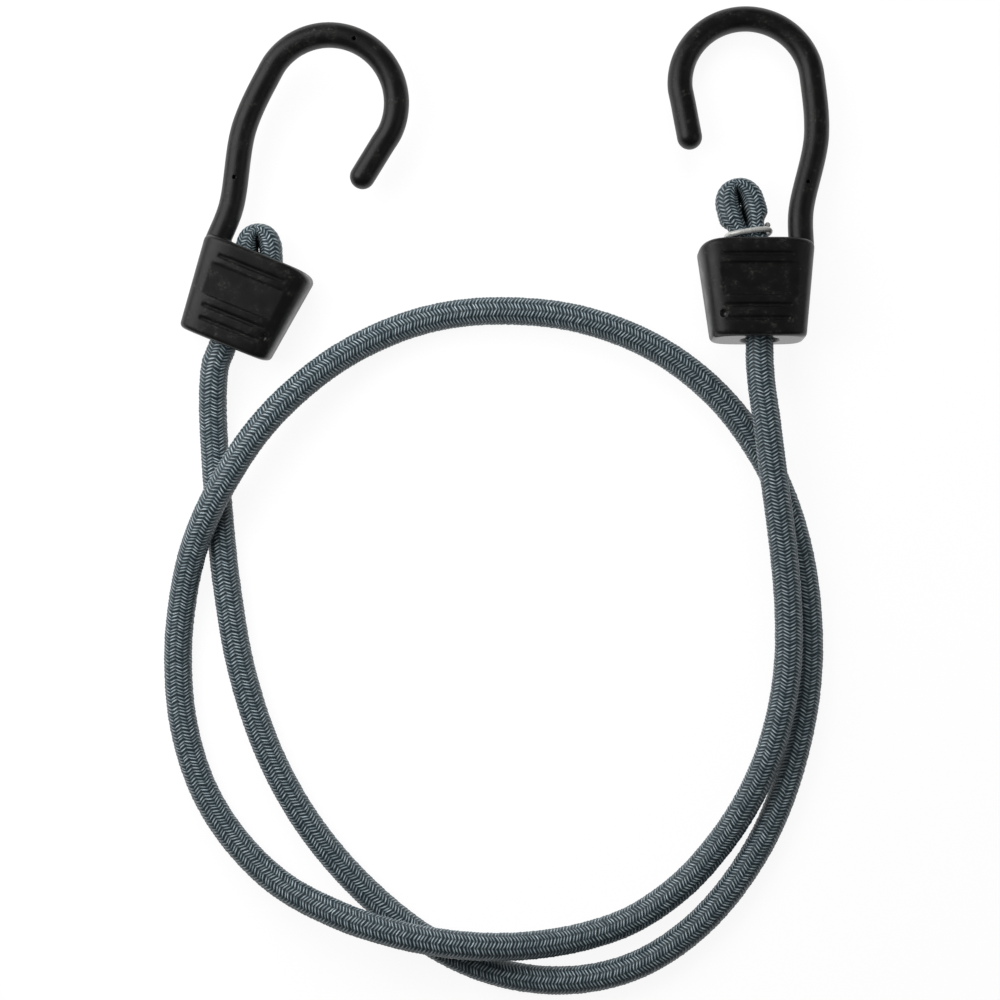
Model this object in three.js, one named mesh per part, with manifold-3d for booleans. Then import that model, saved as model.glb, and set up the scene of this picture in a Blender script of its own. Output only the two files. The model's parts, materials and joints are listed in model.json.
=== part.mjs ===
// Elastic tie-down cord: one length of rubber-cored braided cord, folded back at both ends
// through a moulded collar with a steel-cored hook, lying on a table in a loose double loop.
// Millimetres, +Z up. Origin: on the table, below the middle of the two hook ends.

import * as THREE from 'three';
import { mergeVertices } from 'three/addons/utils/BufferGeometryUtils.js';
import Module from 'manifold-3d';

const wasm = await Module();
wasm.setup();

// Cord: a bundle of rubber threads in a braided sleeve
const cordDiameter = 8;
const sleeveWall = 1;
const cordSides = 10;
const routeSteps = 80;
const foldSteps = 36;
const lengthSamples = 2000;
const gapSamples = 600;
const nextPassDiameters = 3;

// Clearances and cutting
const fitGap = 0.3;
const legGap = 0.4;
const overrun = 2;
const leastEdge = 0.01;

// Folded end of the cord: heights above the collar's mouth with the fold pulled home
const foldHeight = 29.1;
const foldTurnHeight = 6.3;
const crestShare = 0.475;
const crestPower = 3;
const ringHeight = 21.2;
const tailHeight = 15.2;
const foldTravel = 10.2;
const pinchShare = 0.62;
const pinchReach = 4;

// The fold leans over to one side, bent from just above its tail, and shifts a little
const leanFrom = 15;
const leanReach = 8;
const shiftFrom = 14.5;
const shiftReach = 4.5;
const leftFold = { pushedOut: 0, lean: -0.43, shift: 0.1, share: 0.82 };
const rightFold = { pushedOut: foldTravel, lean: 0.26, shift: 1.9, share: 0.9 };

// Crimp ring: one turn of steel wire whose ends lap on the hook's side
const ringWire = 1.6;
const ringLapAngle = 0.25;
const ringRise = 1.95;
const ringSquareness = 2.5;
const ringSides = 6;
const ringSteps = 30;

// Collar: tapered block, wide at its rim, narrow at its mouth
const collarHeight = 28.1;
const collarMouthWidth = 27;
const collarMouthDepth = 17;
const collarRimWidth = 33.2;
const collarRimDepth = 20.6;
const collarMouthShift = -0.45;
const collarRimShift = -0.9;
const collarEdge = 1.4;
const rimLand = 1.8;
const farCornerDrop = 1.9;
const nearCornerDrop = 0.9;
const cornerPower = 6;
const collarSquareness = 4.2;
const collarSides = 32;
const edgeSegments = 3;

// Pocket for the fold and flared bore for the cord
const pocketMiddle = -3.2;
const pocketSideGap = 1.3;
const pocketFlare = 1.6;
const pocketRingGap = 0.9;
const pocketSquareness = 4;
const pocketSides = 24;
const boreSides = 16;
const mouthFlare = 1.4;
const mouthFlareHeight = 2.2;

// Label panel, left bare, and the grip grooves above and below it, on both faces
const panelWidth = 24.4;
const panelHeight = 10;
const panelMiddle = 16.2;
const panelTaper = 0.7;
const panelDepth = 0.9;
const faceShift = -1.1;
const grooveWidth = 1.2;
const grooveDepth = 0.7;
const grooveHeightShares = [0.826, 0.308, 0.176];
const grooveLengthShares = [0.62, 0.58, 0.54];

// Hook: round bar that rises beside the fold, leans out to a knee and turns over in a bow
const barDiameter = 7.25;
const coreDiameter = 4;
const barSides = 12;
const coreSides = 8;
const barSteps = 34;
const coreSteps = 36;
const bowRadius = 19.2;
const bowSide = -2.9;
const bowHeight = 75.2;
const rootDepth = 2.1;
const shankSide = 12.35;
const shankTop = 37.2;
const kneeSide = 17.15;
const kneeDrop = 15.7;
const footSide = 9.7;
const footHeight = 5;
const tipSide = -19.45;
const tipDrop = 15.85;
const bowSegments = 13;
const bowStartAngle = 0.04;
const bowEndAngle = 3.44;
const tipCover = 2.6;
const rootCover = 2.5;
const pinHoleDiameter = 1.4;
const pinHoleShankShare = 0.395;
const pinHoleBowAngle = 1.585;

// Places of the two mouths on the table, and how far each end is turned. The right end touches
// the table with the bow of its hook and its rim, the left end lies flat on its collar.
const rightMouth = { x: 72.4, y: -45.7, turn: 0, flipped: false, bowDown: true };
const leftMouth = { x: -81.4, y: -46.4, turn: -0.3855, flipped: true, bowDown: false };

// Route of the free cord between the mouths, from left to right, points on its centre line.
// The first round lies on the table. The second lies on the first where they cross, low
// down on both sides, and on its way up to the right mouth.
const exitLead = 6;
const route = [
  [-84.5, -58.3, 7.3],
  [-84.8, -66.2, 5.6],
  [-84.5, -76, 4.3],
  [-83.5, -91.3, 4],
  [-81.2, -114.5, 4],
  [-76.7, -140.6, 4],
  [-68.7, -164.7, 4],
  [-57.1, -185.6, 4],
  [-41.2, -204.2, 4],
  [-23.5, -218.5, 4],
  [-7.6, -226.6, 4],
  [8.4, -230.3, 4],
  [24.3, -230, 4],
  [38.8, -225.8, 4],
  [52.5, -217.2, 4],
  [64.4, -205, 4],
  [76, -186.5, 4],
  [84.1, -163.3, 4],
  [87.7, -140.6, 4],
  [86.8, -116.6, 4],
  [82.3, -96.3, 4],
  [75.1, -79.8, 4],
  [61.8, -61.6, 4],
  [43.8, -47.6, 4],
  [21.4, -38.9, 4],
  [-1.8, -36.5, 4],
  [-19.7, -38.3, 4.2],
  [-35, -43.3, 5.4],
  [-49.8, -51.6, 8.6],
  [-63, -62.7, 12],
  [-72, -72.9, 13.4],
  [-79.1, -83.6, 13.6],
  [-85, -94.2, 12.6],
  [-90, -106, 9.4],
  [-93.5, -120.3, 6],
  [-95.1, -136.3, 4.2],
  [-93.5, -156.6, 4],
  [-87.6, -175.4, 4],
  [-77.6, -190.8, 4.8],
  [-64.4, -202.6, 7.2],
  [-47.6, -210.6, 10.8],
  [-34.6, -214.6, 12.8],
  [-22.3, -217.3, 13.2],
  [-7.5, -219.2, 12],
  [6.9, -219.6, 8.6],
  [22, -217.8, 5.4],
  [36.5, -213, 4.2],
  [50.4, -203.5, 4.2],
  [61.1, -191.8, 4.8],
  [69.1, -179, 7.8],
  [74.9, -165.9, 9.9],
  [78.9, -151.6, 10.6],
  [80.8, -137.8, 10.9],
  [80.9, -123.5, 11.2],
  [79.7, -108.5, 11.9],
  [77.8, -94.2, 13],
  [76, -81.4, 13.6],
  [74.3, -68.5, 14],
  [72.9, -58.5, 13.9],
];

const black = new THREE.MeshStandardMaterial({ color: '#1d1d1e', roughness: 0.5, metalness: 0 });
const steel = new THREE.MeshStandardMaterial({ color: '#b9bcc0', roughness: 0.3, metalness: 1 });
const wire = new THREE.MeshStandardMaterial({ color: '#cfd1cf', roughness: 0.25, metalness: 1 });
const braid = new THREE.MeshStandardMaterial({ color: '#4a5c66', roughness: 0.85, metalness: 0 });
const rubber = new THREE.MeshStandardMaterial({ color: '#c9b48c', roughness: 0.7, metalness: 0 });

const cordRadius = cordDiameter / 2;
const coreRadius = cordRadius - sleeveWall - fitGap;
const legSpacing = cordDiameter + legGap;
const foldMiddle = -legSpacing / 2;
const pocketFloor = tailHeight - fitGap;
const rootHeight = collarHeight - rootDepth;
const kneeHeight = bowHeight - kneeDrop;
const tipHeight = bowHeight - tipDrop;

// Closed geometry to solid; a shape that comes out inside out is turned round
function toSolid(geometry) {
  const bare = geometry.clone();
  bare.deleteAttribute('normal');
  bare.deleteAttribute('uv');
  const merged = mergeVertices(bare);
  const vertProperties = new Float32Array(merged.attributes.position.array);
  const triVerts = new Uint32Array(merged.index.array);
  const solid = new wasm.Manifold(new wasm.Mesh({ numProp: 3, vertProperties, triVerts }));
  if (solid.volume() >= 0) return solid;
  return new wasm.Manifold(new wasm.Mesh({ numProp: 3, vertProperties, triVerts: triVerts.reverse() }));
}

function toMesh(name, solid, material) {
  const data = solid.getMesh();
  const geometry = new THREE.BufferGeometry();
  geometry.setAttribute('position', new THREE.BufferAttribute(data.vertProperties, 3));
  geometry.setIndex(new THREE.BufferAttribute(data.triVerts, 1));
  geometry.computeVertexNormals();
  const mesh = new THREE.Mesh(geometry, material);
  mesh.name = name;
  return mesh;
}

function roundSection(radius, sides) {
  const points = [];
  for (let i = 0; i < sides; i += 1) {
    const angle = (2 * Math.PI * i) / sides;
    points.push(new THREE.Vector2(radius * Math.cos(angle), radius * Math.sin(angle)));
  }
  return points;
}

function sweep(section, path, steps) {
  return new THREE.ExtrudeGeometry(section, { steps, extrudePath: path, bevelEnabled: false });
}

function sleeveSection() {
  const section = new THREE.Shape(roundSection(cordRadius, cordSides));
  section.holes.push(new THREE.Path(roundSection(cordRadius - sleeveWall, cordSides)));
  return section;
}

function coreSection() {
  return new THREE.Shape(roundSection(coreRadius, cordSides));
}

// Point at an angle on a unit circle that is squared off towards its bounding square
function squaredPoint(angle, squareness) {
  const power = 2 / squareness;
  const across = Math.sign(Math.cos(angle)) * Math.abs(Math.cos(angle)) ** power;
  const deep = Math.sign(Math.sin(angle)) * Math.abs(Math.sin(angle)) ** power;
  return [across, deep];
}

// Ring of points on a squared-off ellipse that faces along the collar's height
function squaredRing(row, squareness, sides) {
  const points = [];
  for (let i = 0; i < sides; i += 1) {
    const [across, deep] = squaredPoint((2 * Math.PI * (i + 0.5)) / sides, squareness);
    const side = row.halfWidth * across;
    const corner = side > 0 ? row.nearCorner : row.farCorner;
    const drop = corner * Math.abs(side / row.fullHalfWidth) ** cornerPower;
    points.push([row.shift + side, row.height - drop, row.halfDepth * deep]);
  }
  return points;
}

// Closed shell through rings of points, with a fan over each end
function shell(rings) {
  const positions = rings.flat(2);
  const index = [];
  const sides = rings[0].length;
  for (let ring = 0; ring + 1 < rings.length; ring += 1) {
    for (let i = 0; i < sides; i += 1) {
      const low = ring * sides + i;
      const lowNext = ring * sides + ((i + 1) % sides);
      index.push(low, lowNext, low + sides, lowNext, lowNext + sides, low + sides);
    }
  }
  for (const ring of [0, rings.length - 1]) {
    const middle = positions.length / 3;
    const sum = rings[ring].reduce((total, point) => total.map((value, axis) => value + point[axis]));
    positions.push(...sum.map((value) => value / sides));
    for (let i = 0; i < sides; i += 1) {
      const here = ring * sides + i;
      const next = ring * sides + ((i + 1) % sides);
      index.push(...(ring === 0 ? [middle, next, here] : [middle, here, next]));
    }
  }
  const geometry = new THREE.BufferGeometry();
  geometry.setAttribute('position', new THREE.Float32BufferAttribute(positions, 3));
  geometry.setIndex(index);
  return geometry;
}

function loft(rows, squareness, sides) {
  return shell(rows.map((row) => squaredRing(row, squareness, sides)));
}

// Collar's outer form at a height: it widens evenly from mouth to rim, whose corners droop
function collarRow(height, inset) {
  const share = height / collarHeight;
  const width = THREE.MathUtils.lerp(collarMouthWidth, collarRimWidth, share);
  const depth = THREE.MathUtils.lerp(collarMouthDepth, collarRimDepth, share);
  return {
    height,
    halfWidth: width / 2 - inset,
    halfDepth: depth / 2 - inset,
    shift: THREE.MathUtils.lerp(collarMouthShift, collarRimShift, share),
    fullHalfWidth: width / 2,
    farCorner: farCornerDrop * share * share,
    nearCorner: nearCornerDrop * share * share,
  };
}

function collarBlock() {
  const rows = [];
  for (let i = 0; i <= edgeSegments; i += 1) {
    const angle = (Math.PI / 2) * (i / edgeSegments);
    rows.push(collarRow(collarEdge * (1 - Math.cos(angle)), collarEdge * (1 - Math.sin(angle))));
  }
  rows.push(collarRow(collarHeight / 2, 0));
  for (let i = 0; i <= edgeSegments; i += 1) {
    const angle = (Math.PI / 2) * (i / edgeSegments);
    const height = collarHeight - collarEdge * (1 - Math.sin(angle));
    rows.push(collarRow(height, collarEdge * (1 - Math.cos(angle))));
  }
  rows.push(collarRow(collarHeight, collarEdge + rimLand));
  return toSolid(loft(rows, collarSquareness, collarSides));
}

// Pocket that the fold seats in: its floor stops the cord's tail, its sides flare to the rim
function collarPocket() {
  const halfWidth = legSpacing / 2 + cordRadius + pocketSideGap;
  const halfDepth = cordRadius + ringWire;
  const flareShare = 1 + overrun / (collarHeight - pocketFloor);
  const top = collarHeight + overrun;
  const straight = { shift: pocketMiddle, fullHalfWidth: halfWidth, farCorner: 0, nearCorner: 0 };
  const rows = [
    { ...straight, height: pocketFloor, halfWidth, halfDepth },
    {
      ...straight,
      height: top,
      halfWidth: halfWidth + pocketFlare * flareShare,
      halfDepth: halfDepth + pocketRingGap * flareShare,
    },
  ];
  return toSolid(loft(rows, pocketSquareness, pocketSides));
}

// Bore for the single cord, with a flared mouth
function collarBore() {
  const radius = (cordRadius + fitGap) / Math.cos(Math.PI / boreSides);
  const flareRadius = radius + mouthFlare * (1 + overrun / mouthFlareHeight);
  const profile = [
    new THREE.Vector2(0, -overrun),
    new THREE.Vector2(flareRadius, -overrun),
    new THREE.Vector2(radius, mouthFlareHeight),
    new THREE.Vector2(radius, pocketFloor + overrun),
    new THREE.Vector2(0, pocketFloor + overrun),
  ];
  return toSolid(new THREE.LatheGeometry(profile, boreSides));
}

// Cuts a flat-floored recess of the given outline into both broad faces of the collar
function cutBothFaces(collar, outline, depth) {
  const slope = Math.atan2((collarRimDepth - collarMouthDepth) / 2, collarHeight);
  const cutter = new THREE.ExtrudeGeometry(new THREE.Shape(outline), {
    depth: collarRimDepth,
    bevelEnabled: false,
  });
  cutter.translate(0, 0, -depth);
  cutter.rotateX(slope);
  cutter.translate(0, 0, collarMouthDepth / 2);
  const back = cutter.clone().rotateY(Math.PI);
  cutter.translate(faceShift, 0, 0);
  back.translate(faceShift, 0, 0);
  return collar.subtract(toSolid(cutter)).subtract(toSolid(back));
}

function panelOutline() {
  const halfTop = panelWidth / 2;
  const halfBottom = halfTop - panelTaper;
  const low = panelMiddle - panelHeight / 2;
  const high = panelMiddle + panelHeight / 2;
  return [
    new THREE.Vector2(-halfBottom, low),
    new THREE.Vector2(halfBottom, low),
    new THREE.Vector2(halfTop, high),
    new THREE.Vector2(-halfTop, high),
  ];
}

function grooveOutline(heightShare, lengthShare) {
  const half = (collarRimWidth * lengthShare) / 2;
  const low = collarHeight * heightShare - grooveWidth / 2;
  const high = low + grooveWidth;
  return [
    new THREE.Vector2(-half, low),
    new THREE.Vector2(half, low),
    new THREE.Vector2(half, high),
    new THREE.Vector2(-half, high),
  ];
}

function bowPoint(angle) {
  return new THREE.Vector3(
    bowSide + bowRadius * Math.cos(angle),
    bowHeight + bowRadius * Math.sin(angle),
    0,
  );
}

// Centre line of the hook from its foot in the collar to the centre of its round tip
function hookPath(footTrim, tipTrim) {
  const foot = new THREE.Vector3(footSide, footHeight, 0);
  const root = new THREE.Vector3(shankSide, rootHeight, 0);
  const points = [foot.clone().lerp(root, footTrim), root];
  points.push(new THREE.Vector3(shankSide, shankTop, 0));
  points.push(new THREE.Vector3(kneeSide, kneeHeight, 0));
  for (let i = 0; i <= bowSegments; i += 1) {
    points.push(bowPoint(THREE.MathUtils.lerp(bowStartAngle, bowEndAngle, i / bowSegments)));
  }
  const tip = new THREE.Vector3(tipSide, tipHeight, 0);
  const last = points[points.length - 1];
  const away = last.clone().sub(tip).setLength(tipTrim);
  points.push(tip.add(away));
  return new THREE.CatmullRomCurve3(points, false, 'centripetal');
}

// The moulding: collar, and the bar's jacket with its round tip, round a cavity for the steel core
function hookMoulding() {
  const barRadius = barDiameter / 2;
  const footToRoot = rootHeight - footHeight;
  const barPath = hookPath(1 - rootCover / footToRoot, 0);
  const bar = toSolid(sweep(new THREE.Shape(roundSection(barRadius, barSides)), barPath, barSteps));
  const tip = new THREE.SphereGeometry(barRadius, barSides, barSides / 2);
  tip.rotateX(Math.PI / 2);
  tip.translate(tipSide, tipHeight, 0);
  let body = collarBlock().add(bar).add(toSolid(tip));
  body = cutBothFaces(body, panelOutline(), panelDepth);
  grooveHeightShares.forEach((heightShare, i) => {
    body = cutBothFaces(body, grooveOutline(heightShare, grooveLengthShares[i]), grooveDepth);
  });
  const cavity = new THREE.Shape(roundSection(coreDiameter / 2 + fitGap, coreSides));
  const cavityPath = hookPath(-fitGap / footToRoot, tipCover - fitGap);
  body = body.subtract(toSolid(sweep(cavity, cavityPath, coreSteps)));
  body = body.subtract(collarPocket()).subtract(collarBore());
  body = body.subtract(pinHole(pinHoleShank())).subtract(pinHole(bowPoint(pinHoleBowAngle)));
  return body.asOriginal().simplify(leastEdge);
}

// Holes that the mould's locating pins leave, in to the steel core from both faces
function pinHole(place) {
  const hole = new THREE.CylinderGeometry(
    pinHoleDiameter / 2,
    pinHoleDiameter / 2,
    barDiameter + overrun,
    coreSides,
  );
  hole.rotateX(Math.PI / 2);
  hole.translate(place.x, place.y, place.z);
  return toSolid(hole);
}

function pinHoleShank() {
  const top = new THREE.Vector3(shankSide, shankTop, 0);
  return top.lerp(new THREE.Vector3(kneeSide, kneeHeight, 0), pinHoleShankShare);
}

function hookCore() {
  const section = new THREE.Shape(roundSection(coreDiameter / 2, coreSides));
  return toSolid(sweep(section, hookPath(0, tipCover), coreSteps));
}

// Centre line of the folded end: up from a height, over in a half turn, down to the cut tail
function foldPath(startHeight) {
  const turn = legSpacing / 2;
  const crestHeight = foldHeight + foldTurnHeight;
  const fullness = (4 / 3) * Math.tan(Math.PI / 8);
  const rise = new THREE.Vector3(0, foldHeight, 0);
  const crest = new THREE.Vector3(-turn, crestHeight, 0);
  const fall = new THREE.Vector3(-legSpacing, foldHeight, 0);
  const path = new THREE.CurvePath();
  path.add(new THREE.LineCurve3(new THREE.Vector3(0, startHeight, 0), rise));
  path.add(new THREE.CubicBezierCurve3(
    rise,
    new THREE.Vector3(0, foldHeight + fullness * foldTurnHeight, 0),
    new THREE.Vector3((fullness - 1) * turn, crestHeight, 0),
    crest,
  ));
  path.add(new THREE.CubicBezierCurve3(
    crest,
    new THREE.Vector3((-fullness - 1) * turn, crestHeight, 0),
    new THREE.Vector3(-legSpacing, foldHeight + fullness * foldTurnHeight, 0),
    fall,
  ));
  path.add(new THREE.LineCurve3(fall, new THREE.Vector3(-legSpacing, tailHeight, 0)));
  return path;
}

// Ring of points round the folded cord, which is flattened where it turns over
function foldRing(middle, along, inset) {
  const rise = Math.max(0, (middle.y - foldHeight) / foldTurnHeight);
  const thick = cordRadius * (1 - (1 - crestShare) * rise ** crestPower) - inset;
  return roundSection(1, cordSides).map(({ x, y }) => [
    middle.x - along.y * thick * x,
    middle.y + along.x * thick * x,
    (cordRadius - inset) * y,
  ]);
}

// The folded cord, drawn in all round by an inset and made longer at both ends by a lead
function foldTube(fold, inset, lead) {
  const path = foldPath(fitGap / 2 - fold.pushedOut);
  const rings = [];
  for (let step = 0; step <= foldSteps; step += 1) {
    const middle = path.getPointAt(step / foldSteps);
    const along = path.getTangentAt(step / foldSteps);
    rings.push(foldRing(middle, along, inset));
    if (lead === 0) continue;
    if (step === 0) rings.unshift(foldRing(middle.addScaledVector(along, -lead), along, inset));
    if (step === foldSteps) rings.push(foldRing(middle.addScaledVector(along, lead), along, inset));
  }
  return toSolid(shell(rings.map((ring) => ring.map((point) => settled(pinched(point, fold), fold)))));
}

// Draws the two legs together where the crimp ring grips them, and a little in the fold above
function pinched([side, height, deep], fold) {
  const away = (height - ringHeight) / pinchReach;
  const free = THREE.MathUtils.lerp(1, fold.share, THREE.MathUtils.smoothstep(away, -1, 1));
  const share = free - (free - pinchShare) * Math.exp(-(away ** 4));
  return [foldMiddle + (side - foldMiddle) * share, height, (deep * (1 + share)) / 2];
}

// Shifts the fold to the side, bends it over and pushes it out of the collar
function settled([side, height, deep], fold) {
  const shift = THREE.MathUtils.smoothstep(height, shiftFrom, shiftFrom + shiftReach) * fold.shift;
  const bent = THREE.MathUtils.clamp(height - leanFrom, 0, leanReach);
  const beyond = height - leanFrom - bent;
  const angle = (fold.lean * bent) / leanReach;
  const bendRadius = leanReach / fold.lean;
  const spineSide = foldMiddle + shift - bendRadius * (1 - Math.cos(angle)) - beyond * Math.sin(angle);
  const spineHeight = leanFrom + bendRadius * Math.sin(angle) + beyond * Math.cos(angle);
  return [
    spineSide + (side - foldMiddle) * Math.cos(angle),
    spineHeight + (side - foldMiddle) * Math.sin(angle) + fold.pushedOut,
    deep,
  ];
}

function crimpRing(fold) {
  const reach = ringWire / 2 + fitGap;
  const halfWidth = (legSpacing / 2 + cordRadius) * pinchShare + reach;
  const halfDepth = (cordRadius * (1 + pinchShare)) / 2 + reach;
  const points = [];
  for (let i = 0; i <= ringSteps; i += 1) {
    const share = i / ringSteps;
    const angle = THREE.MathUtils.lerp(-ringLapAngle, 2 * Math.PI + ringLapAngle, share);
    const [across, deep] = squaredPoint(angle, ringSquareness);
    const height = ringHeight + ringRise * (share - 0.5);
    const place = settled([foldMiddle + halfWidth * across, height, halfDepth * deep], fold);
    points.push(new THREE.Vector3(...place));
  }
  const path = new THREE.CatmullRomCurve3(points, false, 'centripetal');
  return toSolid(sweep(new THREE.Shape(roundSection(ringWire / 2, ringSides)), path, ringSteps));
}

// Lays an end on the table: on the bow of its hook and its rim, or flat on its collar
function placeEnd(group, mouth) {
  const reach = bowHeight + bowRadius - (collarHeight - collarEdge);
  const flatTilt = Math.atan((collarRimDepth - collarMouthDepth) / 2 / collarHeight);
  const tilt = mouth.bowDown ? -Math.asin((collarRimDepth - barDiameter) / 2 / reach) : flatTilt;
  const flip = mouth.flipped ? Math.PI : 0;
  const turned = new THREE.Matrix4().makeRotationZ(mouth.turn);
  turned.multiply(new THREE.Matrix4().makeRotationX(tilt));
  turned.multiply(new THREE.Matrix4().makeRotationY(flip));
  group.setRotationFromMatrix(turned);
  group.position.set(mouth.x, mouth.y, 0);
  group.updateMatrixWorld(true);
  group.position.z = -new THREE.Box3().setFromObject(group, true).min.z;
  group.updateMatrixWorld(true);
}

function buildEnd(side, mouth, fold) {
  const sleeve = foldTube(fold, 0, 0).subtract(foldTube(fold, sleeveWall, overrun));
  const group = new THREE.Group();
  group.add(toMesh(`${side}_hook_moulding`, hookMoulding(), black));
  group.add(toMesh(`${side}_hook_steel_core`, hookCore(), steel));
  group.add(toMesh(`${side}_fold_sleeve`, sleeve, braid));
  group.add(toMesh(`${side}_fold_rubber`, foldTube(fold, sleeveWall + fitGap, 0), rubber));
  group.add(toMesh(`${side}_crimp_ring`, crimpRing(fold), wire));
  placeEnd(group, mouth);
  return group;
}

// Points that carry the cord straight out of a mouth, nearest the mouth first
function leadOut(group) {
  const lead = [];
  for (const distance of [fitGap / 2, exitLead / 2, exitLead]) {
    lead.push(group.localToWorld(new THREE.Vector3(0, -distance, 0)));
  }
  return lead;
}

function freePath(leftEnd, rightEnd) {
  const middle = route.map((point) => new THREE.Vector3(...point));
  const points = [...leadOut(leftEnd), ...middle, ...leadOut(rightEnd).reverse()];
  return new THREE.CatmullRomCurve3(points, false, 'centripetal');
}

// Least clear distance between two passes of the cord, measured on points along its centre line
function leastGap(path) {
  const apart = (nextPassDiameters * cordDiameter * gapSamples) / path.getLength();
  const points = path.getSpacedPoints(gapSamples);
  let least = Infinity;
  for (let i = 0; i < gapSamples; i += 1) {
    for (let j = i + Math.ceil(apart); j <= gapSamples; j += 1) {
      least = Math.min(least, points[i].distanceTo(points[j]));
    }
  }
  return least - cordDiameter;
}

const leftEnd = buildEnd('left', leftMouth, leftFold);
const rightEnd = buildEnd('right', rightMouth, rightFold);
const freeCord = freePath(leftEnd, rightEnd);
freeCord.arcLengthDivisions = lengthSamples;
console.log(`cord between the mouths ${freeCord.getLength().toFixed(1)} mm`);
console.log(`least gap between its passes ${leastGap(freeCord).toFixed(2)} mm`);

const bungee = new THREE.Group();
bungee.add(toMesh('cord_sleeve', toSolid(sweep(sleeveSection(), freeCord, routeSteps)), braid));
bungee.add(toMesh('cord_rubber', toSolid(sweep(coreSection(), freeCord, routeSteps)), rubber));
bungee.add(leftEnd);
bungee.add(rightEnd);

export default bungee;
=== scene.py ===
import json
import math

import bmesh
import bpy
import numpy as np
from mathutils import Matrix, Vector

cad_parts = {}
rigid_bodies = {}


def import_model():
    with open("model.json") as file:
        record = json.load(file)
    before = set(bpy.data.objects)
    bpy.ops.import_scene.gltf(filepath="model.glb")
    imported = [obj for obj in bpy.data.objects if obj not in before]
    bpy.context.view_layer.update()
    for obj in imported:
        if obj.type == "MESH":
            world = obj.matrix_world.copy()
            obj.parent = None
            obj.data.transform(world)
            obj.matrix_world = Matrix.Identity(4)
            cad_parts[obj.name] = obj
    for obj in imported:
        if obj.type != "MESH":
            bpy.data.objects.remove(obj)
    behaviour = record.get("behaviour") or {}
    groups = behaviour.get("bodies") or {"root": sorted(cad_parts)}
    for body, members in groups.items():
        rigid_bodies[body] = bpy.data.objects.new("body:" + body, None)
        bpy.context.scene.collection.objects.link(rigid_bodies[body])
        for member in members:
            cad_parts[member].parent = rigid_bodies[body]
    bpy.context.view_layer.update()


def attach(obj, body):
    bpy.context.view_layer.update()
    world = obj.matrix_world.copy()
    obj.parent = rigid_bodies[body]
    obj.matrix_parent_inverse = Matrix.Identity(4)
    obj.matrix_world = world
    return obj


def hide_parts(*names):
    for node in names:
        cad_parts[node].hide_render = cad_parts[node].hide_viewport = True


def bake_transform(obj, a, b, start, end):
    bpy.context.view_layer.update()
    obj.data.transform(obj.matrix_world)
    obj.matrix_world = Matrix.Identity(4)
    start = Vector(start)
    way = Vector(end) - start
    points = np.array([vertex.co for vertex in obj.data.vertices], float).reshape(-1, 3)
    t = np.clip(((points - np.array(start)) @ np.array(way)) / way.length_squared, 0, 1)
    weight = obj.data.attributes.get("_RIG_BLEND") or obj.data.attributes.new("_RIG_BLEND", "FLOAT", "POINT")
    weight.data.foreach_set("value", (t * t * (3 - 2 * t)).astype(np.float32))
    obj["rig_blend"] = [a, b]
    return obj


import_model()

# Elastic tie-down cord on a white table, seen from straight above. Lengths are in metres.
# Each hook end has a frame of its own: X towards the hook's shank, Y up its axis from the
# cord's mouth, Z through its thickness.

# Cord: rubber threads in a braided sleeve
CORD_RADIUS = 0.004
SLEEVE_INNER_RADIUS = 0.00305
RUBBER_RADIUS = 0.00275
BRAID_RADIUS = 0.00412
BRAID_COLUMNS = 12
COLUMN_STEPS = 3
ROWS_PER_STRAND = 4
STRAND_PITCH = 0.001
ROW_PITCH = STRAND_PITCH / ROWS_PER_STRAND
CHEVRON_RISE = 0.00095
STRAND_RELIEF = 0.00025
COLUMN_GROOVE = 0.00022
UNEVEN_ALONG = 0.00014
UNEVEN_RELIEF = 0.00006
BRAID_SEED = 7
RUBBER_SIDES = 16
RUBBER_THREAD = 0.0009
WALL_SIDES = 15
WALL_STEP = 0.004
LINE_STEP = 0.00025
STRAND_SECTION = (0.0, 0.6, 1.0, 0.6)
SEAM_SHARE = 1e-5
SAME_PLACE = 1e-7
NECK_LENGTH = 0.1
NECK_INSIDE = 0.008
BLEND_MARGIN = 0.005

# Folded end of the cord, heights above the mouth with the fold pulled home
LEG_SPACING = 0.0084
FOLD_HEIGHT = 0.0291
FOLD_TURN_HEIGHT = 0.0063
CREST_SHARE = 0.475
CREST_POWER = 3
RING_HEIGHT = 0.0212
TAIL_HEIGHT = 0.0152
FOLD_TRAVEL = 0.0102
FOLD_STEPS = 60
PINCH_SHARE = 0.62
PINCH_REACH = 0.0033
PINCH_POWER = 4

# The fold leans over to one side, bent from just above its tail, and shifts a little
LEAN_FROM = 0.015
LEAN_REACH = 0.008
SHIFT_FROM = 0.0145
SHIFT_REACH = 0.0045

# The two legs lie pressed against each other, but for a small eye
LEG_PRESS = 0.0003
LEG_PRESS_REACH = 0.003
LEG_TOUCH = 0.00003
EYE_HEIGHT = 0.0296
EYE_REACH = 0.0011
EYE_SHARE = 0.8
# How far the crease's painted shade reaches to each side
CREASE_REACH = 0.0012

# Crimp ring
RING_WIRE = 0.0016
RING_LAP_ANGLE = 0.25
RING_TUCK_ANGLE = 0.1
RING_RISE = 0.00195
RING_SQUARENESS = 2.5
WIRE_GAP = 0.0003
WIRE_STEPS = 96
WIRE_SIDES = 16
FIRST_ACROSS = (0.0, 0.0, 1.0)

# Collar
COLLAR_HEIGHT = 0.0281
MOUTH_WIDTH = 0.027
MOUTH_DEPTH = 0.017
RIM_WIDTH = 0.0332
RIM_DEPTH = 0.0206
MOUTH_SHIFT = -0.00045
RIM_SHIFT = -0.0009
COLLAR_EDGE = 0.0014
FAR_CORNER_DROP = 0.0019
NEAR_CORNER_DROP = 0.0009
CORNER_POWER = 6
COLLAR_SQUARENESS = 4.2
COLLAR_SIDES = 96
CAP_RINGS = 3
BORE_SIDES = 48
EDGE_STEPS = 6
OVERRUN = 0.002

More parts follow.
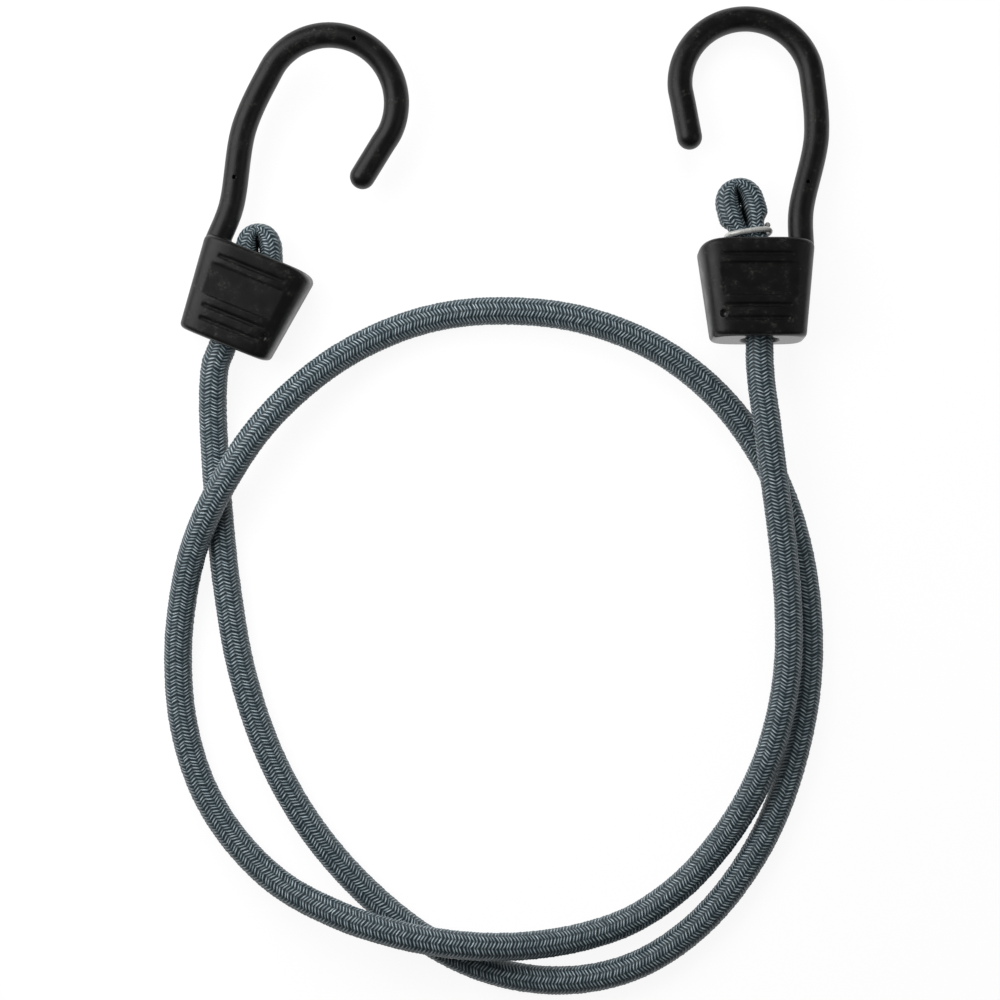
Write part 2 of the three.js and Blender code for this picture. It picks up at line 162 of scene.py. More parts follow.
# Pocket, bore and flared mouth
POCKET_MIDDLE = -0.0032
POCKET_SIDE_GAP = 0.0013
POCKET_FLARE = 0.0016
POCKET_RING_GAP = 0.0009
POCKET_SQUARENESS = 4
POCKET_FLOOR_GAP = 0.0003
POCKET_FLOOR = TAIL_HEIGHT - POCKET_FLOOR_GAP
BORE_GAP = 0.00065
MOUTH_FLARE = 0.00105
MOUTH_FLARE_HEIGHT = 0.0022

# Panel and grooves on both broad faces
FACE_SHIFT = -0.0011
PANEL_WIDTH = 0.0244
PANEL_HEIGHT = 0.01
PANEL_MIDDLE = 0.0162
PANEL_TAPER = 0.0007
PANEL_DEPTH = 0.0006
PANEL_CORNER = 0.0009
PANEL_DRAFT = 0.0003
GROOVE_WIDTH = 0.0012
GROOVE_DEPTH = 0.0006
GROOVE_HEIGHT_SHARES = (0.826, 0.308, 0.176)
GROOVE_LENGTH_SHARES = (0.62, 0.58, 0.54)
DIMPLE_PLACE = (-0.0113, 0.0062)
DIMPLE_BALL = 0.0017
DIMPLE_RISE = 0.0094
DIMPLE_MARGIN = 0.0001

# Hook bar
BAR_DIAMETER = 0.00725
BAR_SIDES = 40
BAR_STEP = 0.0006
FOOT_SIDE = 0.0097
FOOT_HEIGHT = 0.005
ROOT_HEIGHT = 0.026
CORE_DIAMETER = 0.004
CORE_GAP = 0.0003
TIP_COVER = 0.0026
BOW_RADIUS = 0.0192
BOW_SIDE = -0.0029
BOW_HEIGHT = 0.0752
SHANK_SIDE = 0.01235
SHANK_TOP = 0.0372
KNEE_SIDE = 0.01715
KNEE_HEIGHT = 0.0595
ROOT_DEPTH = 0.0025
TIP_SIDE = -0.01945
TIP_HEIGHT = 0.05935
BOW_POINTS = 14
BOW_START_ANGLE = 0.04
BOW_END_ANGLE = 3.44
PIN_HOLE_RADIUS = 0.00055
PIN_HOLE_HEIGHT = 0.0454
PIN_HOLE_BOW_ANGLE = 1.585
VOXEL = 0.00028
SMOOTH_PASSES = 4
SMOOTH_FACTOR = 0.5
THINNING = 0.9

# Where the two ends lie: the left flat on its collar, the right on its rim and its bow.
# A fold's "lean" is its bend in radians, "shift" its way to the side, and "share" what its
# legs keep of their spread above the ring.
ENDS = {
    "left": {"mouth": (-0.0814, -0.0464, 0.008463), "turn": -0.3855, "flipped": True,
             "bow_down": False, "pushed_out": 0.0, "lean": -0.43, "shift": 0.0001, "share": 0.82},
    "right": {"mouth": (0.0724, -0.0457, 0.012911), "turn": 0.0, "flipped": False,
              "bow_down": True, "pushed_out": FOLD_TRAVEL, "lean": 0.26, "shift": 0.0019,
              "share": 0.87},
}

# The cord leaves each mouth straight: how far out its first points lie
LEAD_OUT = (0.00015, 0.003, 0.006)

# Centre line of the free cord from the left mouth to the right one
ROUTE = [
    (-0.0845, -0.0583, 0.0073), (-0.0848, -0.0662, 0.0056), (-0.0845, -0.076, 0.0043),
    (-0.0835, -0.0913, 0.004), (-0.0812, -0.1145, 0.004), (-0.0767, -0.1406, 0.004),
    (-0.0687, -0.1647, 0.004), (-0.0571, -0.1856, 0.004), (-0.0412, -0.2042, 0.004),
    (-0.0235, -0.2185, 0.004), (-0.0076, -0.2266, 0.004), (0.0084, -0.2303, 0.004),
    (0.0243, -0.23, 0.004), (0.0388, -0.2258, 0.004), (0.0525, -0.2172, 0.004),
    (0.0644, -0.205, 0.004), (0.076, -0.1865, 0.004), (0.0841, -0.1633, 0.004),
    (0.0877, -0.1406, 0.004), (0.0868, -0.1166, 0.004), (0.0823, -0.0963, 0.004),
    (0.0751, -0.0798, 0.004), (0.0618, -0.0616, 0.004), (0.0438, -0.0476, 0.004),
    (0.0214, -0.0389, 0.004), (-0.0018, -0.0365, 0.004), (-0.0197, -0.0383, 0.0042),
    (-0.035, -0.0433, 0.0054), (-0.0498, -0.0516, 0.0086), (-0.063, -0.0627, 0.012),
    (-0.072, -0.0729, 0.0134), (-0.0791, -0.0836, 0.0136), (-0.085, -0.0942, 0.0126),
    (-0.09, -0.106, 0.0094), (-0.0935, -0.1203, 0.006), (-0.0951, -0.1363, 0.0042),
    (-0.0935, -0.1566, 0.004), (-0.0876, -0.1754, 0.004), (-0.0776, -0.1908, 0.0048),
    (-0.0644, -0.2026, 0.0072), (-0.0476, -0.2106, 0.0108), (-0.0346, -0.2146, 0.0128),
    (-0.0223, -0.2173, 0.0132), (-0.0075, -0.2192, 0.012), (0.0069, -0.2196, 0.0086),
    (0.022, -0.2178, 0.0054), (0.0365, -0.213, 0.0042), (0.0504, -0.2035, 0.0042),
    (0.0611, -0.1918, 0.0048), (0.0691, -0.179, 0.0078), (0.0749, -0.1659, 0.0099),
    (0.0789, -0.1516, 0.0106), (0.0808, -0.1378, 0.0109), (0.0809, -0.1235, 0.0112),
    (0.0797, -0.1085, 0.0119), (0.0778, -0.0942, 0.013), (0.076, -0.0814, 0.0136),
    (0.0743, -0.0685, 0.014), (0.0729, -0.0585, 0.0139),
]

# Camera and light
CAMERA_PLACE = (-0.00176, -0.09135, 0.62)
VIEW_WIDTH = 0.29
VIEW_DISTANCE = 0.616
SENSOR_WIDTH = 36
CLIP_START = 0.01
ROOM_LIGHT = 0.1
ROOM_SHINE = 0.05
LAMPS = (
    ("softbox beyond the hooks", (0.0, 0.9, 0.8), 0.8, 10.4, False),
    ("softbox on the left", (-0.4, 0.14, 0.36), 0.52, 1.45, True),
    ("softbox on the right", (0.8, -0.09, 0.6), 0.7, 0.4, True),
    ("softbox above the left loops", (-0.18, -0.02, 0.27), 0.2, 0.5, False),
)
LAMP_AIM = (0.0, -0.09, 0.0)
TABLE_SIZE = 3.0
TABLE_DROP = -0.00008
TABLE_GLOW = 0.9
TABLE_BOUNCE = "#9a9a9a"
TABLE_WHITE = 1.02
WHITE = "#ffffff"

# Braid's finish, with painted shade in its gaps, column edges and crease, and painted highlights on its
# filaments: a strand or a column is 1 across, and a value of 0.5 is its middle
STRAND_BRIGHT = "#d3e4ec"
STRAND_DULL = "#74878f"
STRAND_GAP_PAINTED_SHADE = "#202b30"
STRAND_MIDDLE = 0.5
STRAND_EDGE = 0.2
COLUMN_EDGE = 0.34
COLUMN_EDGE_PAINTED_SHADE = 0.34
FILAMENT_SCALE = (0.9, 8.0, 1.0)
PAINTED_GLINT_SPAN = (0.35, 0.62)
PAINTED_GLINT_LOW = 0.55
PATCH_SCALE = (0.7, 0.6, 1.0)
OWN_SHADE = 0.65
CREASE_PAINTED_SHADE = "#050607"
SHEEN_TINT = "#93abb8"
FIBRE_SHINE = 0.5
FIBRE_SHEEN = 0.22

# Finishes of plastic, metal and rubber
NOISE_SPAN = (0.3, 0.7)
NYLON_DARK = "#0a0a0a"
NYLON_LIGHT = "#101010"
NYLON_GRAIN = 0.0003
NYLON_WAVE = 0.004
NYLON_ROUGHNESS = (0.34, 0.48)
SCUFF_MARK = 0.0007
SCUFF_SHADE = "#3a3a37"
SCUFF_SPAN = (0.5, 0.68)
SCUFF_PATCH_SPAN = (0.5, 0.66)
SMOOTH_REACH = 0.0004
SMOOTH_ROUGHNESS = 0.24
RING_ZINC = {"dark": "#b9bab6", "light": "#dfe0dc", "metallic": 0.45, "roughness": 0.28}
ROD_STEEL = {"dark": "#7d8084", "light": "#b4b7bb", "metallic": 1.0, "roughness": 0.35}
METAL_ROUGH_SHARES = (0.8, 1.3)
THREAD_DARK = "#a8915f"
THREAD_LIGHT = "#d8c59a"


def srgb(code):
    """Linear colour of an sRGB hex value."""
    channels = [int(code[i:i + 2], 16) / 255 for i in (1, 3, 5)]
    linear = [c / 12.92 if c <= 0.04045 else ((c + 0.055) / 1.055) ** 2.4 for c in channels]
    return (*linear, 1.0)


def smoothstep(value, low, high):
    share = np.clip((value - low) / (high - low), 0, 1)
    return share * share * (3 - 2 * share)


def end_matrix(end):
    """From a hook end's own frame to the table's."""
    reach = BOW_HEIGHT + BOW_RADIUS - (COLLAR_HEIGHT - COLLAR_EDGE)
    tilt = math.atan((RIM_DEPTH - MOUTH_DEPTH) / 2 / COLLAR_HEIGHT)
    if end["bow_down"]:
        tilt = -math.asin((RIM_DEPTH - BAR_DIAMETER) / 2 / reach)
    flip = math.pi if end["flipped"] else 0
    turned = (
        Matrix.Rotation(end["turn"], 4, "Z")
        @ Matrix.Rotation(tilt, 4, "X")
        @ Matrix.Rotation(flip, 4, "Y")
    )
    return Matrix.Translation(end["mouth"]) @ turned


def moved(points, matrix):
    m = np.array(matrix)
    return points @ m[:3, :3].T + m[:3, 3]


# Lines in space

def between(low, high, place, start, stop):
    return low + (high - low) * (place - start) / (stop - start)


def spline(points, per_span=24):
    """Centripetal spline through the points, close enough together to be its own length."""
    p = np.array(points)
    p = np.vstack([2 * p[0] - p[1], p, 2 * p[-1] - p[-2]])
    line = []
    for a, b, c, d in zip(p, p[1:], p[2:], p[3:]):
        steps = [np.linalg.norm(far - near) ** 0.5 for near, far in ((a, b), (b, c), (c, d))]
        t1, t2, t3 = np.cumsum(steps)
        t = np.linspace(t1, t2, per_span, endpoint=False)[:, None]
        ab = between(a, b, t, 0, t1)
        bc = between(b, c, t, t1, t2)
        cd = between(c, d, t, t2, t3)
        line.append(between(between(ab, bc, t, 0, t2), between(bc, cd, t, t1, t3), t, t1, t2))
    return np.vstack([*line, p[-2]])


def distances(line):
    """Distance along a line at each of its points."""
    return np.concatenate([[0], np.cumsum(np.linalg.norm(np.diff(line, axis=0), axis=1))])


def read_off(line, at, values):
    """Values given at a line's points, read off at distances along it."""
    along = distances(line)
    return np.stack([np.interp(at, along, values[:, k]) for k in range(3)], axis=-1)


def even(line, step):
    """The line again with evenly spaced points, about a step apart."""
    total = distances(line)[-1]
    return read_off(line, np.linspace(0, total, int(total / step) + 1), line)


def carried_directions(line, first):
    """Two directions square to the line and to each other that never twist about it."""
    tangent = np.gradient(line, axis=0)
    tangent /= np.linalg.norm(tangent, axis=1)[:, None]
    across = [np.array(first, float)]
    for here in tangent:
        side = across[-1] - here * (across[-1] @ here)
        across.append(side / np.linalg.norm(side))
    across = np.array(across[1:])
    return across, np.cross(tangent, across)


# Cord

def fold_line(pushed_out):
    """From the mouth up, over in a half turn and down to the cut tail, in the end's frame."""
    turn = LEG_SPACING / 2
    high = FOLD_HEIGHT + pushed_out
    angle = np.linspace(0, math.pi, FOLD_STEPS)
    arc = np.column_stack([
        turn * (np.cos(angle) - 1), high + FOLD_TURN_HEIGHT * np.sin(angle), 0 * angle
    ])
    return np.vstack([(0, LEAD_OUT[0], 0), arc, (-LEG_SPACING, TAIL_HEIGHT + pushed_out, 0)])


def in_fold(middle, offset, end, straight=False):
    """Places of the folded cord: flattened where it turns over, pinched, bent and pushed out.

    A straight fold is not yet bent or pushed out, and is given in the end's own frame."""
    matrix = end_matrix(end)
    back = matrix.inverted()
    middle = moved(middle, back)
    offset = moved(offset, back.to_3x3().to_4x4())
    rise = np.clip((middle[..., 1] - end["pushed_out"] - FOLD_HEIGHT) / FOLD_TURN_HEIGHT, 0, 1)
    thick = 1 - (1 - CREST_SHARE) * rise ** CREST_POWER
    places = middle + offset * np.stack([thick, thick, np.ones_like(thick)], axis=-1)
    places[..., 1] -= end["pushed_out"]
    places = pinched(pressed(places), end)
    return places if straight else moved(settled(places, end), matrix)


def crease(places):
    """How deep the places of a straight fold lie in the crease between the two legs, where shade is painted.
    """
    side, height = places[..., 0] + LEG_SPACING / 2, places[..., 1]
    low, high = RING_HEIGHT, FOLD_HEIGHT + FOLD_TURN_HEIGHT * CREST_SHARE
    above_ring = smoothstep(height, low, low + PINCH_REACH)
    below_crest = 1 - smoothstep(height, high, high + PINCH_REACH)
    return np.exp(-(side / CREASE_REACH) ** 2) * (above_ring * below_crest)


def pressed(places):
    """Lays the two legs against each other, flat where they touch."""
    middle = -LEG_SPACING / 2
    side, height = places[..., 0] - middle, places[..., 1]
    eye = 1 - EYE_SHARE * np.exp(-((height - EYE_HEIGHT) / EYE_REACH) ** 2)
    press = LEG_PRESS * smoothstep(height, TAIL_HEIGHT, RING_HEIGHT) * eye
    away = abs(side) - press * np.exp(-(side / LEG_PRESS_REACH) ** 2)
    away = np.maximum(away, np.minimum(abs(side), LEG_TOUCH))
    return np.stack([middle + np.sign(side) * away, height, places[..., 2]], axis=-1)


def pinched(places, end):
    """Draws the two legs together where the ring grips them, and a little above it."""
    middle = -LEG_SPACING / 2
    away = (places[..., 1] - RING_HEIGHT) / PINCH_REACH
    free = 1 + (end["share"] - 1) * smoothstep(away, -1, 1)
    share = free - (free - PINCH_SHARE) * np.exp(-away ** PINCH_POWER)
    side = middle + (places[..., 0] - middle) * share
    return np.stack([side, places[..., 1], places[..., 2] * (1 + share) / 2], axis=-1)


def settled(places, end):
    """Shifts the fold to the side, bends it over and pushes it out of the collar."""
    middle = -LEG_SPACING / 2
    side, height = places[..., 0] - middle, places[..., 1]
    shift = end["shift"] * smoothstep(height, SHIFT_FROM, SHIFT_FROM + SHIFT_REACH)
    bent = np.clip(height - LEAN_FROM, 0, LEAN_REACH)
    beyond = height - LEAN_FROM - bent
    angle = end["lean"] * bent / LEAN_REACH
    bend_radius = LEAN_REACH / end["lean"]
    spine_side = middle + shift - bend_radius * (1 - np.cos(angle)) - beyond * np.sin(angle)
    spine_height = LEAN_FROM + bend_radius * np.sin(angle) + beyond * np.cos(angle)
    return np.stack([
        spine_side + side * np.cos(angle),
        spine_height + side * np.sin(angle) + end["pushed_out"],
        places[..., 2],
    ], axis=-1)


lead = np.array([(0, -distance, 0) for distance in LEAD_OUT])
folds = {name: moved(fold_line(end["pushed_out"]), end_matrix(end)) for name, end in ENDS.items()}
leads = {name: moved(lead, end_matrix(end)) for name, end in ENDS.items()}
free_line = spline([*leads["left"], *ROUTE, *leads["right"][::-1]])
cord_line = even(np.vstack([folds["left"][::-1], free_line, folds["right"]]), LINE_STEP)
cord_across, cord_up = carried_directions(cord_line, end_matrix(ENDS["left"]).col[0][:3])
cord_length = distances(cord_line)[-1]
uneven = np.random.default_rng(BRAID_SEED).uniform(
    -1, 1, (math.ceil(cord_length / STRAND_PITCH) + 1, BRAID_COLUMNS)
)
left_mouth = distances(folds["left"])[-1]
right_mouth = cord_length - distances(folds["right"])[-1]


def row_at(distance):
    """The nearest row of the braid that lies in a gap between two strands."""
    return round(distance / STRAND_PITCH) * ROWS_PER_STRAND


def cord_ring(along, angle, radius, end=None, straight=False):
    """Places round the cord, for distances along it and angles and radii round it."""
    along, angle, radius = np.broadcast_arrays(np.clip(along, 0, cord_length), angle, radius)
    middle, across, up = [
        read_off(cord_line, along, values) for values in (cord_line, cord_across, cord_up)
    ]
    turn = angle[..., None]
    offset = radius[..., None] * (across * np.cos(turn) + up * np.sin(turn))
    return in_fold(middle, offset, end, straight) if end else middle + offset


def braid_places(first, last, end, straight=False):
    """Outer surface of the braid: strands lie across each column, tilted by turns."""
    row = np.arange(first, last + 1)[:, None]
    side = np.arange(BRAID_COLUMNS * COLUMN_STEPS)[None, :]
    tilt = abs((side / COLUMN_STEPS) % 2 - 1) - 0.5
    odd = uneven[row // ROWS_PER_STRAND, side // COLUMN_STEPS]
    along = row * ROW_PITCH + CHEVRON_RISE * tilt + UNEVEN_ALONG * odd
    crest = np.array(STRAND_SECTION)[row % ROWS_PER_STRAND]
    edge = side % COLUMN_STEPS == 0
    radius = BRAID_RADIUS - STRAND_RELIEF * (1 - crest) - COLUMN_GROOVE * edge * crest
    radius = radius - UNEVEN_RELIEF * (1 + odd) * crest
    angle = 2 * math.pi * side / (BRAID_COLUMNS * COLUMN_STEPS)
    return cord_ring(along, angle, radius, end, straight)


def wrap(bm, places, depth=None):
    """Wraps a grid round into an open tube and gives back its two end rings.

    A crease depth, where given, stays on each vertex for the braid's painted crease shade."""
    rows, sides = places.shape[0] - 1, places.shape[1]
    made = bmesh.ops.create_grid(
        bm, x_segments=sides, y_segments=rows, size=1, calc_uvs=True
    )["verts"]
    seam = [vert for vert in made if abs(vert.co.x) > 1 - SEAM_SHARE]
    rims = [[vert for vert in made if sign * vert.co.y > 1 - SEAM_SHARE] for sign in (-1, 1)]
    for vert in made:
        row = round((vert.co.y + 1) / 2 * rows)
        side = round((vert.co.x + 1) / 2 * sides) % sides
        vert.co = places[row, side]
        if depth is not None:
            vert[bm.verts.layers.float["crease"]] = depth[row, side]
    bmesh.ops.remove_doubles(bm, verts=seam, dist=SAME_PLACE)
    return [[vert for vert in rim if vert.is_valid] for rim in rims]


def rim_edges(rim):
    return list({edge for vert in rim for edge in vert.link_edges if edge.is_boundary})


def loose(name, bm):
    """An object of the scene made from a bmesh, with its faces pointing outwards."""
    mesh = bpy.data.meshes.new(name)
    bm.normal_update()
    bmesh.ops.recalc_face_normals(bm, faces=bm.faces)
    bm.to_mesh(mesh)
    bm.free()
    made = bpy.data.objects.new(name, mesh)
    bpy.context.scene.collection.objects.link(made)
    return made


def make_piece(name, bm, material, slot, body=None, replaced=()):
    """Turns a bmesh into a finished piece of the object."""
    for face in bm.faces:
        face.smooth = True
    piece = loose(name, bm)
    piece.data.materials.append(material)
    if body:
        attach(piece, body)
    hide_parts(*replaced)
    return piece


def stretch_of(first, last):
    """Length of cord between two rows."""
    return (last - first) * ROW_PITCH


def plain_places(first, last, sides, radius, end):
    """Places of a plain tube inside the braid between two rows."""
    steps = max(2, round(stretch_of(first, last) / WALL_STEP))
    along = np.linspace(first, last, steps + 1)[:, None] * ROW_PITCH
    angle = 2 * math.pi * np.arange(sides)[None, :] / sides
    return cord_ring(along, angle, radius, end)


def sleeve_piece(name, first, last, end=None, **facts):
    """A stretch of the braided sleeve between two rows, hollow for the rubber."""
    outer = braid_places(first, last, end)
    inner = plain_places(first, last, WALL_SIDES, SLEEVE_INNER_RADIUS, end)
    bm = bmesh.new()
    bm.loops.layers.uv.new("Braid")
    bm.verts.layers.float.new("crease")
    depth = crease(braid_places(first, last, end, straight=True)) if end else None
    outer_rims = wrap(bm, outer, depth)
    inner_rims = wrap(bm, inner)
    for outer_rim, inner_rim in zip(outer_rims, inner_rims):
        bmesh.ops.bridge_loops(bm, edges=rim_edges(outer_rim) + rim_edges(inner_rim))
    piece = make_piece(name, bm, braid, "braid", **facts)
    layer = piece.data.uv_layers["Braid"].data
    uv = np.empty(2 * len(layer), np.float32)
    layer.foreach_get("uv", uv)
    uv[0::2] *= BRAID_COLUMNS
    uv[1::2] = (uv[1::2] * (last - first) + first) / ROWS_PER_STRAND
    layer.foreach_set("uv", uv)
    return piece


def rubber_piece(name, first, last, end=None, **facts):
    """The bundle of rubber threads inside a stretch of the sleeve."""
    places = plain_places(first, last, RUBBER_SIDES, RUBBER_RADIUS, end)
    bm = bmesh.new()
    for rim in wrap(bm, places):
        bmesh.ops.holes_fill(bm, edges=rim_edges(rim))
    return make_piece(name, bm, rubber, "rubber_threads", **facts)


# Crimp ring

def ring_line(end):
    """Centre line of the wire round both legs, its ends lapped on the hook's side."""
    reach = RING_WIRE / 2 + WIRE_GAP
    half_width = (LEG_SPACING / 2 + CORD_RADIUS) * PINCH_SHARE + reach
    half_depth = CORD_RADIUS * (1 + PINCH_SHARE) / 2 + reach
    share = np.linspace(0, 1, WIRE_STEPS + 1)
    angle = -RING_LAP_ANGLE + share * (2 * math.pi + RING_LAP_ANGLE - RING_TUCK_ANGLE)
    across, deep = squared(angle, RING_SQUARENESS)
    height = RING_HEIGHT + RING_RISE * (share - 0.5)
    side = -LEG_SPACING / 2 + half_width * across
    return settled(np.column_stack([side, height, half_depth * deep]), end)


def squared(angle, squareness):
    """Place on a unit circle that is squared off towards the square round it."""
    power = 2 / squareness
    across = np.sign(np.cos(angle)) * abs(np.cos(angle)) ** power
    deep = np.sign(np.sin(angle)) * abs(np.sin(angle)) ** power
    return across, deep


def rod(bm, line, radius, sides):
    """Closed round rod along a line."""
    across, up = carried_directions(line, FIRST_ACROSS)
    angle = 2 * math.pi * np.arange(sides)[None, :, None] / sides
    places = line[:, None] + radius * (
        across[:, None] * np.cos(angle) + up[:, None] * np.sin(angle)
    )
    for rim in wrap(bm, places):
        bmesh.ops.holes_fill(bm, edges=rim_edges(rim))


# Hook moulding

def loft(bm, rows, squareness):
    """Closed block through squared-off sections stacked up the collar's axis."""
    top = len(rows) - 1
    made = bmesh.ops.create_cone(
        bm, cap_ends=True, segments=COLLAR_SIDES, radius1=1, radius2=1, depth=top
    )["verts"]
    for level in range(1, top):
        geometry = [*bm.verts, *bm.edges, *bm.faces]
        plane = (0, 0, level - top / 2)
        bmesh.ops.bisect_plane(bm, geom=geometry, plane_co=plane, plane_no=(0, 0, 1))
    caps = [face for face in bm.faces if len(face.verts) == COLLAR_SIDES]
    for _ in range(CAP_RINGS):
        bmesh.ops.inset_individual(bm, faces=caps, thickness=1 / (CAP_RINGS + 1))
    for vert in bm.verts:
        row = rows[round(vert.co.z + top / 2)]
        angle = math.atan2(vert.co.y, vert.co.x)
        across, deep = [part * vert.co.xy.length for part in squared(angle, squareness)]
        side = row["half_width"] * across
        corner = row["near_corner"] if side > 0 else row["far_corner"]
        drop = corner * abs(side / row["full_half_width"]) ** CORNER_POWER
        vert.co = (row["shift"] + side, row["height"] - drop, row["half_depth"] * deep)


def collar_row(height, inset):
    """Section of the collar at a height, drawn in where its edges are rounded."""
    share = height / COLLAR_HEIGHT
    half_width = (MOUTH_WIDTH + (RIM_WIDTH - MOUTH_WIDTH) * share) / 2
    return {
        "height": height,
        "half_width": half_width - inset,
        "full_half_width": half_width,
        "half_depth": (MOUTH_DEPTH + (RIM_DEPTH - MOUTH_DEPTH) * share) / 2 - inset,
        "shift": MOUTH_SHIFT + (RIM_SHIFT - MOUTH_SHIFT) * share,
        "far_corner": FAR_CORNER_DROP * share * share,
        "near_corner": NEAR_CORNER_DROP * share * share,
    }


def collar_block():
    """The whole collar, from its mouth's rounded edge to its rim's."""
    turn = [math.pi / 2 * step / EDGE_STEPS for step in range(EDGE_STEPS + 1)]
    rows = [
        collar_row(COLLAR_EDGE * (1 - math.cos(angle)), COLLAR_EDGE * (1 - math.sin(angle)))
        for angle in turn
    ]
    rows += [
        collar_row(
            COLLAR_HEIGHT - COLLAR_EDGE * (1 - math.sin(angle)),
            COLLAR_EDGE * (1 - math.cos(angle)),
        )
        for angle in turn
    ]
    bm = bmesh.new()
    loft(bm, rows, COLLAR_SQUARENESS)
    return bm


def pocket_block():
    """Cutter for the pocket that holds the fold, wider towards the rim."""
    top = COLLAR_HEIGHT + OVERRUN
    flare = (top - POCKET_FLOOR) / (COLLAR_HEIGHT - POCKET_FLOOR)
    half_width = LEG_SPACING / 2 + CORD_RADIUS + POCKET_SIDE_GAP
    half_depth = CORD_RADIUS + RING_WIRE
    rows = [
        {
            "height": height,
            "half_width": half_width + POCKET_FLARE * share,
            "full_half_width": half_width,
            "half_depth": half_depth + POCKET_RING_GAP * share,
            "shift": POCKET_MIDDLE,
            "far_corner": 0,
            "near_corner": 0,
        }
        for height, share in ((POCKET_FLOOR, 0), (top, flare))
    ]
    bm = bmesh.new()
    loft(bm, rows, POCKET_SQUARENESS)
    return bm


def cylinder(radius, low_radius, low, high):
    """Round plug up the collar's axis."""
    bm = bmesh.new()
    turned = Matrix.Translation((0, (low + high) / 2, 0)) @ Matrix.Rotation(-math.pi / 2, 4, "X")
    bmesh.ops.create_cone(
        bm, cap_ends=True, segments=BORE_SIDES, radius1=low_radius, radius2=radius,
        depth=high - low, matrix=turned,
    )
    return bm


def panel_block():
    """Cutter for the sunk panel, its floor a little smaller than its opening."""
    bm = bmesh.new()
    bmesh.ops.create_cube(bm, size=1)
    upright = [edge for edge in bm.edges if abs(edge.verts[0].co.z - edge.verts[1].co.z) > 0.5]
    deep = RIM_DEPTH + PANEL_DEPTH
    for vert in bm.verts:
        half = PANEL_WIDTH / 2 - (PANEL_TAPER if vert.co.y < 0 else 0)
        half -= PANEL_DRAFT if vert.co.z < 0 else 0
        tall = PANEL_HEIGHT - (2 * PANEL_DRAFT if vert.co.z < 0 else 0)
        height = PANEL_MIDDLE + vert.co.y * tall
        vert.co = (math.copysign(half, vert.co.x), height, (vert.co.z + 0.5) * deep - PANEL_DEPTH)
    bmesh.ops.bevel(
        bm, geom=upright, offset=PANEL_CORNER, segments=EDGE_STEPS, profile=0.5,
        affect="EDGES", material=-1,
    )
    return bm


def groove_block(height_share, length_share):
    """Cutter for one groove with round ends."""
    bm = bmesh.new()
    deep = RIM_DEPTH + GROOVE_DEPTH
    half = (RIM_WIDTH * length_share - GROOVE_WIDTH) / 2
    bmesh.ops.create_cone(
        bm, cap_ends=True, segments=BORE_SIDES, radius1=GROOVE_WIDTH / 2,
        radius2=GROOVE_WIDTH / 2, depth=deep,
    )
    for vert in bm.verts:
        vert.co.x += math.copysign(half, vert.co.x)
        vert.co.y += COLLAR_HEIGHT * height_share
        vert.co.z += deep / 2 - GROOVE_DEPTH
    return bm


def on_both_faces(block):
    """The cutter laid on the collar's front face, and again on its back face."""
    slope = math.atan2((RIM_DEPTH - MOUTH_DEPTH) / 2, COLLAR_HEIGHT)
    front = Matrix.Translation((0, 0, MOUTH_DEPTH / 2)) @ Matrix.Rotation(slope, 4, "X")
    back = Matrix.Rotation(math.pi, 4, "Y") @ front
    shift = Matrix.Translation((FACE_SHIFT, 0, 0))
    blocks = []
    for matrix in (shift @ front, shift @ back):
        copy = block.copy()
        copy.transform(matrix)
        blocks.append(copy)
    block.free()
    return blocks


def bow_point(angle):
    """Place on the centre line of the hook's bow."""
    return (BOW_SIDE + BOW_RADIUS * math.cos(angle), BOW_HEIGHT + BOW_RADIUS * math.sin(angle), 0)


def hook_line(foot_depth, tip_trim):
    """Centre line of the hook from its foot in the collar to the centre of its round tip."""
    root = Vector((SHANK_SIDE, ROOT_HEIGHT, 0))
    foot = root + (Vector((FOOT_SIDE, FOOT_HEIGHT, 0)) - root) * foot_depth
    points = [foot, root, (SHANK_SIDE, SHANK_TOP, 0), (KNEE_SIDE, KNEE_HEIGHT, 0)]
    bow_angles = np.linspace(BOW_START_ANGLE, BOW_END_ANGLE, BOW_POINTS)
    points += [bow_point(angle) for angle in bow_angles]
    tip = Vector((TIP_SIDE, TIP_HEIGHT, 0))
    points.append(tip + (Vector(points[-1]) - tip).normalized() * tip_trim)
    return even(spline(points), BAR_STEP)


def cut(target, blocks):
    """Cuts closed blocks out of a closed shape."""
    cutters = bpy.data.collections.new("cutters")
    for block in blocks:
        helper = loose("cutter", block)
        cutters.objects.link(helper)
    change = target.modifiers.new("cut", "BOOLEAN")
    change.operation = "DIFFERENCE"
    change.solver = "MANIFOLD"
    change.operand_type = "COLLECTION"
    change.collection = cutters
    settle(target)
    for helper in list(cutters.objects):
        bpy.data.objects.remove(helper)
    bpy.data.collections.remove(cutters)


def settle(target):
    """Makes a shape's modifiers part of its mesh."""
    seen = target.evaluated_get(bpy.context.evaluated_depsgraph_get())
    mesh = bpy.data.meshes.new_from_object(seen)
    target.modifiers.clear()
    target.data = mesh


